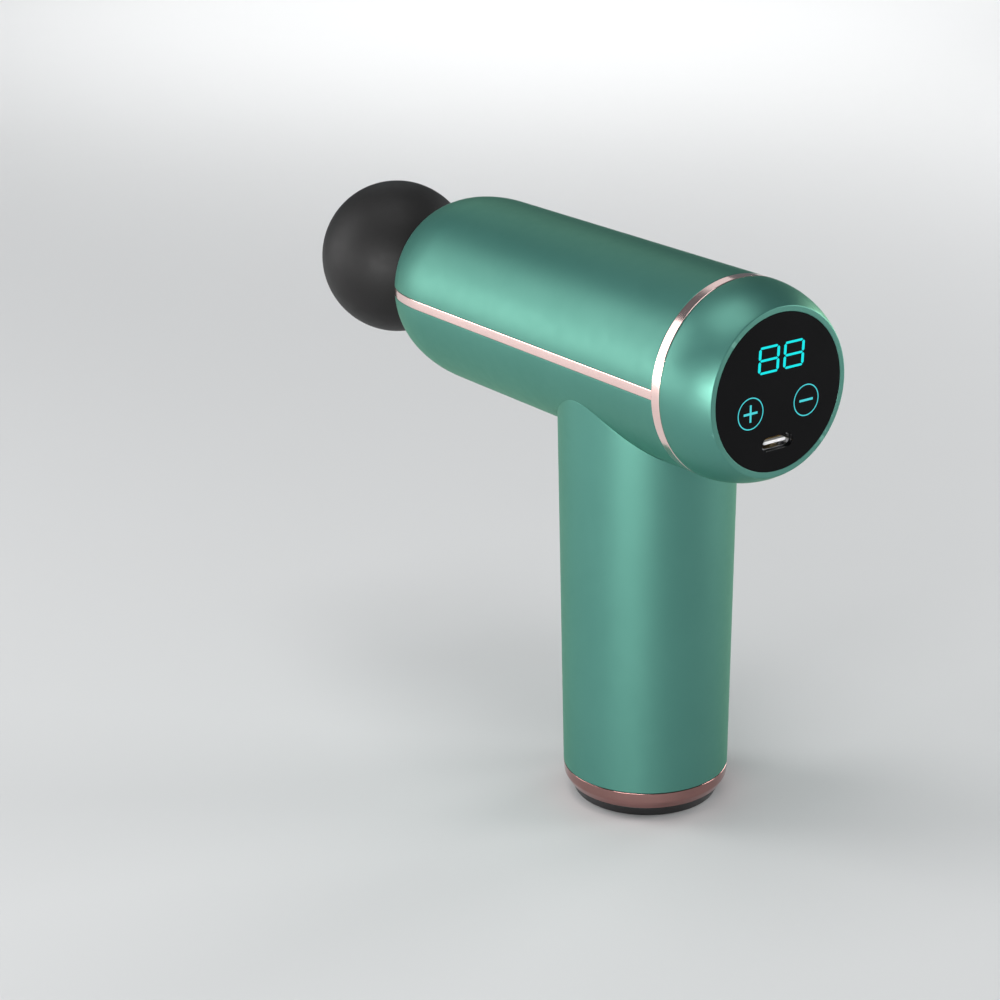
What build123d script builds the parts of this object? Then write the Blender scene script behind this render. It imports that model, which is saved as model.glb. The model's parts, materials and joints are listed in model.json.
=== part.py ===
from build123d import *
import math
import os

# Pistol-shaped percussion massager with its ball head fitted. Millimetres. Z is up. The origin is
# the centre of the foot that the handle stands on. Y runs along the barrel towards the head, and
# the display faces -Y. Outside sizes come first, then the mechanism, then the electronics.

# barrel and handle
AXIS_Z = 117.2            # height of the barrel's axis
BARREL_R = 24.0
WALL = 2.0
RING_Y = -30.3            # front edge of the rear trim ring, where the barrel shells end
CAP_Y = -33.1             # rear edge of the trim ring, where the rear cap starts
REAR_Y = -46.4            # plane of the display panel
RIM_R = 20.05             # outer radius of the flat rim round the panel
PANEL_R = 18.65
PANEL_T = 1.5
NOSE_Y = 62.95            # where the barrel starts to round off
FACE_Y = 82.5             # flat front face
FACE_R = 16.3
NOSE_HOLE_R = 14.5
NOSE_SEAL_INNER_R = 12.6
NOSE_SEAL_Y = 79.4        # inner end of the rubber ring in the mouth of the barrel
NOSE_FLANGE_R = 15.6
NOSE_FLANGE_T = 0.5
STRIP_H = 2.46            # height of the inlaid side strips
STRIP_T = 1.0
HANDLE_TOP_R = 21.7       # handle radius level with the underside of the barrel
HANDLE_LOW_R = 20.8
HANDLE_LOW_Z = 8.0
HANDLE_WALL = 1.8
WELL_R = 19.5             # opening in the lower shell over the handle
FIT = 0.05                # clearance of parts that drop into one another

# base
BASE_RING_Z = 3.4
BASE_RING_LOW_R = 19.5
FOOT_R = 17.0
PLUG_LOW_R = 17.9
SPIGOT_R = 18.6
PLUG_TOP_Z = 10.5
BASE_SCREW_Y = 12.0

# crank mechanism
CRANK_R = 3.0             # half the stroke
ROD_L = 34.0
ROD_T = 5.0               # also the width of the crank pin's bearing
WHEEL_R = 15.5
WHEEL_Z = 108.2
WHEEL_T = 5.5
PIN_R = 2.5
BIG_END_R = 9.6
SMALL_END_R = 4.5
WRIST_R = 2.0
PISTON_R = 12.0
PISTON_Y = 20.0           # rear end of the piston, fully back
PISTON_FRONT_Y = 75.8
POCKET_HALF_W = 7.85
POCKET_HALF_H = 4.0
POCKET_END_Y = 42.5
SOCKET_R = 5.9
SOCKET_END_Y = 56.2
ORING_R = 0.9
ORING_YS = (61.0, 67.0)
SLEEVE_R = 13.5
SLEEVE_Y0, SLEEVE_Y1 = 40.0, 74.0
GUIDE_CLEARANCE = 0.05

# head
BALL_R = 20.56
BALL_Y = 109.1
COLLAR_R = 9.0
SHANK_R = 5.85
SHANK_END_Y = 57.2
HEAD_GAP = 0.1            # between the collar and the piston
SKIN_T = 2.2
ANCHOR_R = 7.0

# motor, under the barrel in the top of the handle
SHAFT_R = 2.5
BELL_R = 16.0
BELL_WALL = 1.2
BELL_Z0, BELL_Z1 = 83.3, 100.0
STATOR_R = 12.8
STATOR_Z0, STATOR_Z1 = 89.5, 99.5
TEETH = 12
MAGNETS = 14
MAGNET_T = 1.6
BASE_Z = 102.2            # underside of the motor's mounting flange
PLATE_Z = 104.2           # underside of the chassis plate
PLATE_T = 2.5
SEAT_R = 5.5              # outer radius of the motor's bearings
BEARING_W = 4.0
LOW_BEARING_Z = 86.4
TOP_BEARING_Z = 100.2

# ball bearings: race radii, ball radius and number
MOTOR_BEARING = dict(bore=SHAFT_R, inner=3.4, outer=4.7, od=SEAT_R, ball=0.62, balls=8)
CRANK_BEARING = dict(bore=PIN_R, inner=3.75, outer=5.6, od=7.0, ball=0.9, balls=8)

# chassis
TONGUE_Z0 = 101.0
TONGUE_HALF_W = 12.0
HOUSING_R = 16.5
HOUSING_Y0, HOUSING_Y1 = 42.0, 72.0
FRONT_BOSS = (9.0, 26.0)
REAR_BOSS = (11.0, -24.0)
BOSS_R = 3.2
DAMPER_T = 1.0
SCREW_DEPTH = 3.0         # how far the chassis screws reach into the bosses

# batteries and their board
CELL_R = 9.2
CELL_X = 9.3
CELL_Z0, CELL_Z1 = 13.0, 78.0
CELL_HOLDER_R = 18.2
STRAP_T = 0.3
STRAP_HALF_W = 3.0
BMS_Z = 79.6
BMS_R = 18.4
BOARD_T = 1.2

# display and controls
INLAY_T = 0.3
DIGIT_H = 6.4
DIGIT_W = 6.2
DIGIT_XS = (-3.25, 4.2)
DIGIT_Z = 8.35            # digit centres above the barrel axis
DIGIT_SLANT = 2.5         # degrees
BAR_T = 0.55               # level segments
UPRIGHT_T = 0.77           # upright segments
SEGMENT_GAP = 0.12
ICON_X, ICON_Z = 8.35, -3.4
ICON_R = 3.8
ICON_LINE = 0.26
ARM = 2.05
ARM_T = 0.55
DISPLAY_Y = -41.5         # rear-facing side of the display board
CONTROL_Y = -35.9
BOARD_R = 16.8
POST_R = 16.2             # pitch radius of the display board's posts
POST_ANGLES = (90, 210, 330)

# USB-C receptacle
USB_Z = -11.8
USB_W, USB_H = 8.84, 3.06
USB_SHELL_T = 0.25
USB_Y0, USB_Y1 = -45.5, -38.5
TONGUE_W, TONGUE_T = 6.69, 0.7
CONTACT_PITCH = 0.5

BARREL_AXIS = Axis((0, 0, AXIS_Z), (0, 1, 0))
BARREL_PLANE = Plane(origin=(0, 0, AXIS_Z), x_dir=(0, 1, 0), z_dir=(1, 0, 0))


# --- plain shapes -------------------------------------------------------------------------------

def block(x0, x1, y0, y1, z0, z1):
    """Box between two corners."""
    centre = Pos((x0 + x1) / 2, (y0 + y1) / 2, (z0 + z1) / 2)
    return centre * Box(x1 - x0, y1 - y0, z1 - z0)


def post_z(r, z0, z1, x=0, y=0):
    """Upright cylinder."""
    return Pos(x, y, (z0 + z1) / 2) * Cylinder(r, z1 - z0)


def ring_z(r_out, r_in, z0, z1, x=0, y=0):
    return post_z(r_out, z0, z1, x, y) - post_z(r_in, z0 - 1, z1 + 1, x, y)


def post_y(r, y0, y1, x=0, z=0):
    """Cylinder along the barrel, with z measured from the barrel's axis."""
    return Pos(x, (y0 + y1) / 2, AXIS_Z + z) * Rot(90, 0, 0) * Cylinder(r, y1 - y0)


def ring_y(r_out, r_in, y0, y1, x=0, z=0):
    return post_y(r_out, y0, y1, x, z) - post_y(r_in, y0 - 1, y1 + 1, x, z)


def turned_z(points, x=0, y=0):
    """Solid turned about a vertical axis from (radius, height) corners."""
    corners = [(x + r, y, z) for r, z in points]
    return revolve(make_face(Polyline(*corners, close=True)), Axis((x, y, 0), (0, 0, 1)))


def turned_y(*curves):
    """Solid turned about the barrel's axis from 2D curves in (y, radius)."""
    outline = Curve() + list(curves)
    return revolve(BARREL_PLANE * make_face(outline), BARREL_AXIS)


def panel_plane(y):
    """Plane across the barrel, seen from behind: X to the right, its normal towards -Y."""
    return Plane(origin=(0, y, AXIS_Z), x_dir=(1, 0, 0), z_dir=(0, -1, 0))


def around(count, r=0.0, first=0.0):
    """Places equally spaced about the Z axis."""
    return [Rot(0, 0, first + 360 * i / count) * Pos(r, 0, 0) for i in range(count)]


def solids(parts):
    """One group from separate solids."""
    return Compound(children=[s for p in parts for s in p.solids()])


# --- barrel shells ------------------------------------------------------------------------------

def barrel_form(inset, y0=RING_Y):
    """The barrel and its rounded nose, solid, with its surface moved in by the inset."""
    r = BARREL_R - inset
    front = FACE_Y - inset
    rounding = EllipticalCenterArc((NOSE_Y, FACE_R), front - NOSE_Y, r - FACE_R, 0)
    return turned_y(
        Line((y0, 0), (y0, r)),
        Line((y0, r), (NOSE_Y, r)),
        rounding,
        Line((front, FACE_R), (front, 0)),
        Line((front, 0), (y0, 0)),
    )


def barrel_skin():
    hole = post_y(NOSE_HOLE_R, NOSE_Y, FACE_Y + 1)
    inside = barrel_form(WALL) + post_y(BARREL_R - WALL, RING_Y - 1, RING_Y + 1)
    return barrel_form(0) - inside - hole


def strip_band(inset):
    """The two bands along the joint of the shells, as deep as the strips."""
    half = STRIP_H / 2
    skin = barrel_form(0) - barrel_form(inset)
    skin -= post_y(NOSE_FLANGE_R + FIT, NOSE_Y, FACE_Y + 1)
    return skin & block(-30, 30, RING_Y, FACE_Y + 1, AXIS_Z - half, AXIS_Z + half)


def barrel_upper_shell():
    upper = block(-30, 30, RING_Y - 1, FACE_Y + 1, AXIS_Z, AXIS_Z + 30)
    return (barrel_skin() & upper) - strip_band(STRIP_T) - nose_flange_seat()


def barrel_lower_shell():
    lower = block(-30, 30, RING_Y - 1, FACE_Y + 1, AXIS_Z - 30, AXIS_Z)
    shell = (barrel_skin() & lower) - strip_band(STRIP_T) - nose_flange_seat()
    shell -= post_z(WELL_R, AXIS_Z - 30, AXIS_Z)
    tops = ((FRONT_BOSS, TONGUE_Z0 - DAMPER_T), (REAR_BOSS, PLATE_Z - DAMPER_T))
    for (x, y), top in tops:
        for side in (-1, 1):
            boss = post_z(BOSS_R, AXIS_Z - BARREL_R, top, side * x, y) & barrel_form(WALL / 2)
            shell += boss
            shell -= post_z(1.25, top - SCREW_DEPTH, top + 1, side * x, y)
    return shell


def side_trim(side):
    """One strip, from the rear trim ring over the nose to the edge of the front face."""
    half = block(min(0, side * 30), max(0, side * 30), RING_Y - 1, FACE_Y + 1, 0, 200)
    return strip_band(STRIP_T) & half


# --- nose ---------------------------------------------------------------------------------------

def nose_flange_seat():
    return post_y(NOSE_FLANGE_R + FIT, FACE_Y - NOSE_FLANGE_T, FACE_Y + 1)


def nose_seal():
    """Rubber ring in the mouth of the barrel, with a flange over the front face."""
    seal = post_y(NOSE_HOLE_R, NOSE_SEAL_Y, FACE_Y)
    seal += post_y(NOSE_FLANGE_R, FACE_Y - NOSE_FLANGE_T, FACE_Y + 0.2)
    seal -= post_y(NOSE_SEAL_INNER_R, NOSE_SEAL_Y - 1, FACE_Y + 2)
    return seal


# --- handle and base ----------------------------------------------------------------------------

def handle_cone(inset, z0, z1):
    """The tapered handle as a solid between two heights."""
    top_z = AXIS_Z - BARREL_R
    slope = (HANDLE_TOP_R - HANDLE_LOW_R) / (top_z - HANDLE_LOW_Z)
    r0 = HANDLE_LOW_R + slope * (z0 - HANDLE_LOW_Z) - inset
    r1 = HANDLE_LOW_R + slope * (z1 - HANDLE_LOW_Z) - inset
    return turned_z([(0, z0), (r0, z0), (r1, z1), (0, z1)])


def handle_shell():
    """Tapered tube whose top is cut to sit on the underside of the barrel."""
    tube = handle_cone(0, HANDLE_LOW_Z, AXIS_Z)
    tube -= handle_cone(HANDLE_WALL, HANDLE_LOW_Z - 1, AXIS_Z + 1)
    return tube - post_y(BARREL_R, -60, 60)


def base_trim_ring():
    """Metal ring round the foot of the handle."""
    outline = [
        (SPIGOT_R + FIT, BASE_RING_Z),
        (BASE_RING_LOW_R, BASE_RING_Z),
        (BASE_RING_LOW_R + 0.75, BASE_RING_Z + 1.4),
        (HANDLE_LOW_R, HANDLE_LOW_Z - 0.6),
        (HANDLE_LOW_R, HANDLE_LOW_Z),
        (SPIGOT_R + FIT, HANDLE_LOW_Z),
    ]
    return turned_z(outline)


def base_plug():
    """Cap that closes the handle: a rim below the trim ring and a spigot inside the tube."""
    plug = turned_z([
        (0, 0.5), (PLUG_LOW_R - 0.5, 0.5), (PLUG_LOW_R + 0.2, 1.0),
        (BASE_RING_LOW_R - 0.25, BASE_RING_Z), (SPIGOT_R, BASE_RING_Z),
        (SPIGOT_R, PLUG_TOP_Z), (0, PLUG_TOP_Z),
    ])
    plug -= post_z(FOOT_R + FIT, 0, 1.5)
    plug -= post_z(SPIGOT_R - 2.0, 3.5, 11)
    for side in (-1, 1):
        plug += post_z(3.0, 3.0, PLUG_TOP_Z, 0, side * BASE_SCREW_Y)
        plug -= post_z(1.25, 0, PLUG_TOP_Z + 1, 0, side * BASE_SCREW_Y)
        plug -= post_z(2.5, 1.4, 3.0, 0, side * BASE_SCREW_Y)
    return plug


def foot_pad():
    """Rubber pad that the massager stands on."""
    return turned_z([(0, 0), (FOOT_R - 0.4, 0), (FOOT_R, 0.4), (FOOT_R, 1.4), (0, 1.4)])


def base_screws():
    """Two screws up through the base plug into the battery's lower holder."""
    screws = []
    for side in (-1, 1):
        y = side * BASE_SCREW_Y
        shank = post_z(1.25, 3.0, 16.0, 0, y)
        head = post_z(2.4, 1.45, 3.0, 0, y) - post_z(0.9, 1.4, 2.3, 0, y)
        screws.append(shank + head)
    return solids(screws)


# --- rear end -----------------------------------------------------------------------------------

CAP_INNER_R = BARREL_R - WALL
SEAT_FLOOR_Y = REAR_Y + PANEL_T
SEAT_BACK_Y = SEAT_FLOOR_Y + 1.5
CAP_SPIGOT_Y = -27.6


def rear_trim_ring():
    return ring_y(BARREL_R, CAP_INNER_R, CAP_Y, RING_Y)


def rear_cap():
    """Rounded cap: flat rim, seat and posts for the display, spigot into the barrel."""
    cap = turned_y(
        Line((CAP_Y, 0), (CAP_Y, BARREL_R)),
        TangentArc((CAP_Y, BARREL_R), (REAR_Y, RIM_R), tangent=(-1, 0)),
        Line((REAR_Y, RIM_R), (REAR_Y, 0)),
        Line((REAR_Y, 0), (CAP_Y, 0)),
    )
    cap -= turned_y(
        Line((CAP_Y, 0), (CAP_Y, CAP_INNER_R - 1.5)),
        Line((CAP_Y, CAP_INNER_R - 1.5), (SEAT_BACK_Y, CAP_INNER_R - 2.4)),
        Line((SEAT_BACK_Y, CAP_INNER_R - 2.4), (SEAT_BACK_Y, 0)),
        Line((SEAT_BACK_Y, 0), (CAP_Y, 0)),
    )
    cap -= post_y(PANEL_R - 1.45, REAR_Y - 1, SEAT_BACK_Y + 1)
    cap -= post_y(PANEL_R, REAR_Y - 1, SEAT_FLOOR_Y)
    cap += ring_y(CAP_INNER_R - FIT, CAP_INNER_R - 1.5, CAP_Y, CAP_SPIGOT_Y)
    for angle in POST_ANGLES:
        x = POST_R * math.cos(math.radians(angle))
        z = POST_R * math.sin(math.radians(angle))
        cap += post_y(2.0, SEAT_FLOOR_Y, DISPLAY_Y, x, z)
        cap -= post_y(1.0, SEAT_FLOOR_Y + 0.5, DISPLAY_Y + 1, x, z)
    return cap


def usb_slot(width, height, y0, y1):
    """Round-ended bar across the panel at the charging port."""
    outline = panel_plane(y1) * Pos(0, USB_Z) * SlotOverall(width, height)
    return extrude(outline, amount=y1 - y0)


def display_panel():
    """Smoked lens: pockets for the lit marks and a slot for the charging port."""
    panel = post_y(PANEL_R - FIT, REAR_Y, SEAT_FLOOR_Y)
    panel -= usb_slot(USB_W + 0.3, USB_H + 0.3, REAR_Y - 1, SEAT_FLOOR_Y + 1)
    panel -= display_digits()
    panel -= touch_icons()
    return panel


def segment(length, thickness):
    """Flat seven-segment bar with pointed ends, along X."""
    half, edge = length / 2 - SEGMENT_GAP, thickness / 2
    corners = [(-half, 0), (-half + edge, edge), (half - edge, edge),
               (half, 0), (half - edge, -edge), (-half + edge, -edge)]
    return make_face(Polyline(*corners, close=True))


def digit_outline():
    """All seven segments of one digit, centred."""
    across = DIGIT_W - UPRIGHT_T
    up = (DIGIT_H - BAR_T) / 2
    bars = [Pos(0, y) * segment(across, BAR_T) for y in (-up, 0, up)]
    for x in (-across / 2, across / 2):
        for y in (-up / 2, up / 2):
            lean = y * math.tan(math.radians(DIGIT_SLANT))
            bars.append(Pos(x + lean, y) * Rot(0, 0, 90 - DIGIT_SLANT) * segment(up, UPRIGHT_T))
    return bars


def display_digits():
    """Two lit digits, inlaid flush with the face of the lens."""
    marks = []
    for x in DIGIT_XS:
        for bar in digit_outline():
            place = panel_plane(REAR_Y + INLAY_T) * Pos(x, DIGIT_Z)
            marks.append(extrude(place * bar, amount=INLAY_T))
    return solids(marks)


def touch_icons():
    """Ring and sign of the plus and minus touch areas, inlaid in the lens."""
    plus = Rectangle(2 * ARM, ARM_T) + Rectangle(ARM_T, 2 * ARM)
    minus = Rectangle(2 * ARM, ARM_T)
    ring = Circle(ICON_R) - Circle(ICON_R - ICON_LINE)
    marks = []
    for x, sign in ((-ICON_X, plus), (ICON_X, minus)):
        place = panel_plane(REAR_Y + INLAY_T) * Pos(x, ICON_Z)
        marks.append(extrude(place * ring, amount=INLAY_T))
        marks.append(extrude(place * sign, amount=INLAY_T))
    return solids(marks)


def display_led_module():
    """Light box behind the digits, on the display board."""
    top = AXIS_Z + DIGIT_Z
    box = block(-7.6, 8.4, SEAT_FLOOR_Y, DISPLAY_Y, top - 4.2, top + 4.0)
    for x in DIGIT_XS:
        box -= block(x - 3.2, x + 3.2, SEAT_FLOOR_Y - 1, SEAT_FLOOR_Y + 1.6, top - 3.4, top + 3.4)
    return box


def touch_pads():
    """Conductive foam pads between the board and the lens, one behind each icon."""
    return solids([post_y(3.5, SEAT_FLOOR_Y, DISPLAY_Y, side * ICON_X, ICON_Z)
                   for side in (-1, 1)])


def display_board():
    board = post_y(BOARD_R, DISPLAY_Y, DISPLAY_Y + BOARD_T)
    board -= usb_slot(USB_W, USB_H, DISPLAY_Y - 1, DISPLAY_Y + 3)
    for angle in POST_ANGLES:
        x = POST_R * math.cos(math.radians(angle))
        z = POST_R * math.sin(math.radians(angle))
        board -= post_y(2.2, DISPLAY_Y - 1, DISPLAY_Y + 3, x * 1.09, z * 1.09)
        board -= post_y(1.0, DISPLAY_Y - 1, DISPLAY_Y + 3, x * 0.99, z * 0.99)
    return board


def board_screws():
    """Three screws that clamp the edge of the display board to the posts of the rear cap."""
    screws = []
    for angle in POST_ANGLES:
        x = POST_R * math.cos(math.radians(angle))
        z = POST_R * math.sin(math.radians(angle))
        shank = post_y(1.0, SEAT_FLOOR_Y + 0.8, DISPLAY_Y + BOARD_T, x, z)
        head = post_y(2.0, DISPLAY_Y + BOARD_T, DISPLAY_Y + BOARD_T + 1.2, x, z)
        slot = post_y(0.7, DISPLAY_Y + BOARD_T + 0.5, DISPLAY_Y + BOARD_T + 2, x, z)
        screws.append(shank + head - slot)
    return solids(screws)


STANDOFFS = ((13.0, 5.5), (-13.0, 5.5), (9.5, -5.5), (-9.5, -5.5))


def board_standoffs():
    """Four brass pillars between the two boards."""
    y0 = DISPLAY_Y + BOARD_T
    return solids([post_y(1.5, y0, CONTROL_Y, x, z) for x, z in STANDOFFS])


def control_board():
    board = post_y(BOARD_R, CONTROL_Y, CONTROL_Y + BOARD_T)
    return board - block(-9, 9, CONTROL_Y - 1, CONTROL_Y + 3, AXIS_Z + 13.5, AXIS_Z + 18)


def control_components():
    """Driver chips, inductor and capacitor on the front of the control board."""
    face = CONTROL_Y + BOARD_T
    parts = [post_y(3.15, face, face + 7.5, -8, 3)]
    parts.append(block(-2.5, 2.5, face, face + 1.2, AXIS_Z - 2, AXIS_Z + 3))
    parts.append(block(5, 11, face, face + 3.0, AXIS_Z + 2, AXIS_Z + 8))
    for x in (-4.5, 0, 4.5):
        parts.append(block(x - 1.6, x + 1.6, face, face + 1.0, AXIS_Z - 7.2, AXIS_Z - 4))
    return solids(parts)


def usb_shell():
    """Metal shell of the USB-C receptacle."""
    inner_w, inner_h = USB_W - 2 * USB_SHELL_T, USB_H - 2 * USB_SHELL_T
    shell = usb_slot(USB_W, USB_H, USB_Y0, USB_Y1)
    return shell - usb_slot(inner_w, inner_h, USB_Y0 - 1, USB_Y1 - 0.8)


def usb_tongue():
    return usb_slot(TONGUE_W, TONGUE_T, USB_Y0 + 0.15, USB_Y1 - 0.8)


def usb_contacts():
    """Twelve contacts on each side of the tongue."""
    contacts = []
    for i in range(12):
        x = (i - 5.5) * CONTACT_PITCH
        for side in (-1, 1):
            z = AXIS_Z + USB_Z + side * (TONGUE_T / 2 + 0.06)
            contacts.append(block(x - 0.13, x + 0.13, USB_Y0 + 1.2, USB_Y1 - 0.8, z - 0.06, z + 0.06))
    return solids(contacts)


# --- wires --------------------------------------------------------------------------------------

def bend_radii(points):
    """0.45 of the shorter run beside each corner, over the tangent of half the turn."""
    radii = []
    for a, b, c in zip(points, points[1:], points[2:]):
        before, after = Vector(*b) - Vector(*a), Vector(*c) - Vector(*b)
        half_turn = math.radians(before.get_angle(after)) / 2
        radii.append(0.45 * min(before.length, after.length) / math.tan(half_turn))
    return radii


def wire(points, r):
    """Insulated wire along straight runs joined by tangent arcs."""
    radii = bend_radii(points)
    path = FilletPolyline(*points, radius=radii)
    start = Plane(origin=points[0], z_dir=Vector(*points[1]) - Vector(*points[0]))
    tube = sweep(start * Circle(r), path=path)
    print("wire radii", [round(v, 1) for v in radii], "volume over section x length",
          round(tube.volume / (math.pi * r * r * path.length), 4))
    return tube


WIRE_R = 0.6
BATTERY_WIRE_R = 0.7


def motor_leads():
    """Three phase leads from the windings, back under the chassis and up to the control board."""
    back = CONTROL_Y + BOARD_T
    leads = []
    for x in (-2.0, 0.0, 2.0):
        start = (x, -STATOR_R + 0.2, 101.1)
        route = [start, (x, -20.0, 101.1), (x, -27.5, 106.6), (x, back, 106.6)]
        leads.append(wire(route, WIRE_R))
    return solids(leads)


def battery_leads():
    """Supply leads from the battery board, up past the motor to the control board."""
    back = CONTROL_Y + BOARD_T
    leads = []
    for x in (-5.0, 5.0):
        route = [(x, -17.0, BMS_Z + BOARD_T), (x, -17.0, 102.5), (x, back, 102.5)]
        leads.append(wire(route, BATTERY_WIRE_R))
    return solids(leads)


# --- chassis ------------------------------------------------------------------------------------

MOTOR_SCREWS = ((8.0, 8.0), (-8.0, 8.0), (-8.0, -8.0), (8.0, -8.0))


def chassis():
    """Frame that carries the motor under a plate and the piston's sleeve in a round housing."""
    top = PLATE_Z + PLATE_T
    plate = block(-15.5, 15.5, REAR_BOSS[1] - 4, 17.5, PLATE_Z, top)
    plate -= block(-7.5, 7.5, REAR_BOSS[1] - 6, -16.4, PLATE_Z - 1, top + 1)
    plate &= post_z(29, PLATE_Z - 1, top + 1)
    plate &= barrel_form(WALL + 0.4)
    tongue = block(-TONGUE_HALF_W, TONGUE_HALF_W, 16.2, HOUSING_Y0 + 4, TONGUE_Z0, PLATE_Z)
    tongue += block(-TONGUE_HALF_W, TONGUE_HALF_W, 16.2, 17.5, TONGUE_Z0, top)
    housing = post_y(HOUSING_R, HOUSING_Y0, HOUSING_Y1)
    keel = block(-TONGUE_HALF_W, TONGUE_HALF_W, HOUSING_Y0, HOUSING_Y0 + 4, TONGUE_Z0, AXIS_Z - 8)
    frame = plate + tongue + housing + keel
    frame -= post_y(SLEEVE_R, 30, HOUSING_Y1 + 1)
    frame -= ring_z(WHEEL_R + 1.2, 0.5, top, AXIS_Z + 20)
    frame -= post_z(SEAT_R + 1.0, PLATE_Z - 1, top + 1)
    for x, y in MOTOR_SCREWS:
        frame -= post_z(1.25, PLATE_Z - 1, top + 1, x, y)
        frame -= post_z(2.4, PLATE_Z + 1, top + 1, x, y)
    for side in (-1, 1):
        frame -= post_z(1.25, TONGUE_Z0 - 1, PLATE_Z + 1, side * FRONT_BOSS[0], FRONT_BOSS[1])
        frame -= post_z(1.25, PLATE_Z - 1, top + 1, side * REAR_BOSS[0], REAR_BOSS[1])
    return frame


def chassis_dampers():
    """Rubber washers between the chassis and the bosses of the lower shell."""
    rings = []
    for (x, y), top in ((FRONT_BOSS, TONGUE_Z0), (REAR_BOSS, PLATE_Z)):
        for side in (-1, 1):
            rings.append(ring_z(BOSS_R, 1.25, top - DAMPER_T, top, side * x, y))
    return solids(rings)


def chassis_screws():
    screws = []
    for (x, y), seat in ((FRONT_BOSS, PLATE_Z), (REAR_BOSS, PLATE_Z + PLATE_T)):
        underside = TONGUE_Z0 if seat == PLATE_Z else PLATE_Z
        bottom = underside - DAMPER_T - SCREW_DEPTH
        for side in (-1, 1):
            shank = post_z(1.25, bottom, seat, side * x, y)
            head = post_z(2.4, seat, seat + 1.4, side * x, y)
            screws.append(shank + head - post_z(0.9, seat + 0.6, seat + 2, side * x, y))
    return solids(screws)


def guide_sleeve():
    """Bush that the piston slides in, with a flange against the front of its housing."""
    sleeve = post_y(SLEEVE_R, SLEEVE_Y0, SLEEVE_Y1)
    sleeve += post_y(SLEEVE_R + 1.5, HOUSING_Y1, SLEEVE_Y1)
    return sleeve - post_y(PISTON_R + GUIDE_CLEARANCE, SLEEVE_Y0 - 1, SLEEVE_Y1 + 1)


# --- motor --------------------------------------------------------------------------------------

def motor_base():
    """Mounting flange and bearing tube of the outer-rotor motor."""
    low, top = LOW_BEARING_Z, TOP_BEARING_Z
    base = turned_z([
        (SEAT_R, low), (SEAT_R + 1, low), (SEAT_R + 1, BASE_Z), (15, BASE_Z), (15, PLATE_Z),
        (SEAT_R, PLATE_Z), (SEAT_R, top), (SEAT_R - 1, top),
        (SEAT_R - 1, low + BEARING_W), (SEAT_R, low + BEARING_W),
    ])
    for x, y in MOTOR_SCREWS:
        base -= post_z(1.25, BASE_Z - 1, PLATE_Z + 1, x, y)
    return base


def motor_screws():
    """Four flush screws through the chassis plate into the motor's flange."""
    screws = []
    for x, y in MOTOR_SCREWS:
        shank = post_z(1.25, BASE_Z + 0.2, PLATE_Z + 1, x, y)
        head = post_z(2.4, PLATE_Z + 1, PLATE_Z + PLATE_T - 0.2, x, y)
        screws.append(shank + head - post_z(0.9, PLATE_Z + 1.6, PLATE_Z + 3, x, y))
    return solids(screws)


def stator_core():
    """Laminated core: hub, teeth and tooth heads."""
    step = 360 / TEETH
    outline = Circle(STATOR_R) - Circle(STATOR_R - 1.2)
    for place in around(TEETH, STATOR_R, step / 2):
        outline -= place * Rectangle(4, 1.6)
    outline += Circle(SEAT_R + 2.4)
    for place in around(TEETH, 9.5):
        outline += place * Rectangle(5.2, 2.0)
    outline -= Circle(SEAT_R + 1)
    return extrude(Pos(0, 0, STATOR_Z0) * outline, amount=STATOR_Z1 - STATOR_Z0)


def stator_windings():
    """One coil round each tooth."""
    mid = (STATOR_Z0 + STATOR_Z1) / 2
    core_h = STATOR_Z1 - STATOR_Z0
    coil = Box(3.0, 3.8, core_h + 4.4)
    coil = fillet(coil.edges().filter_by(Axis.X), 0.8)
    coil -= Box(5, 2.0, core_h)
    return solids([Pos(0, 0, mid) * place * coil for place in around(TEETH, 9.9)])


def rotor_bell():
    """Steel cup that carries the magnets, open at the top, with vents in its floor."""
    floor = BELL_Z0 + 1.5
    bell = turned_z([
        (SHAFT_R, BELL_Z0), (BELL_R - 0.6, BELL_Z0), (BELL_R, BELL_Z0 + 0.6), (BELL_R, BELL_Z1),
        (BELL_R - BELL_WALL, BELL_Z1), (BELL_R - BELL_WALL, floor), (5, floor), (5, floor + 1),
        (3.3, floor + 1), (3.3, LOW_BEARING_Z), (SHAFT_R, LOW_BEARING_Z),
    ])
    for place in around(6, 10):
        bell -= Pos(0, 0, BELL_Z0) * place * Cylinder(2.2, 5)
    return bell


def rotor_magnets():
    """Curved magnets round the inside of the bell."""
    outer = BELL_R - BELL_WALL
    ring = ring_z(outer, outer - MAGNET_T, STATOR_Z0 - 0.5, STATOR_Z1)
    for place in around(MAGNETS, outer):
        ring -= Pos(0, 0, 95) * place * Box(6, 0.5, 20)
    return solids([ring])


def motor_shaft():
    top = WHEEL_Z + 2.5
    return turned_z([(0, BELL_Z0 - 0.7), (SHAFT_R - 0.4, BELL_Z0 - 0.7), (SHAFT_R, BELL_Z0 - 0.3),
                     (SHAFT_R, top), (0, top)])


# --- ball bearings ------------------------------------------------------------------------------

def bearing_races(kind, z0, width, x=0, y=0):
    inner = ring_z(kind["inner"], kind["bore"], z0, z0 + width, x, y)
    outer = ring_z(kind["od"], kind["outer"], z0, z0 + width, x, y)
    return inner, outer


def ball_places(kind, z0, width, x=0, y=0):
    pitch = (kind["inner"] + kind["outer"]) / 2
    centre = Pos(x, y, z0 + width / 2)
    return [centre * place for place in around(kind["balls"], pitch)]


def bearing_balls(kind, z0, width, x=0, y=0):
    return [place * Sphere(kind["ball"]) for place in ball_places(kind, z0, width, x, y)]


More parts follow.
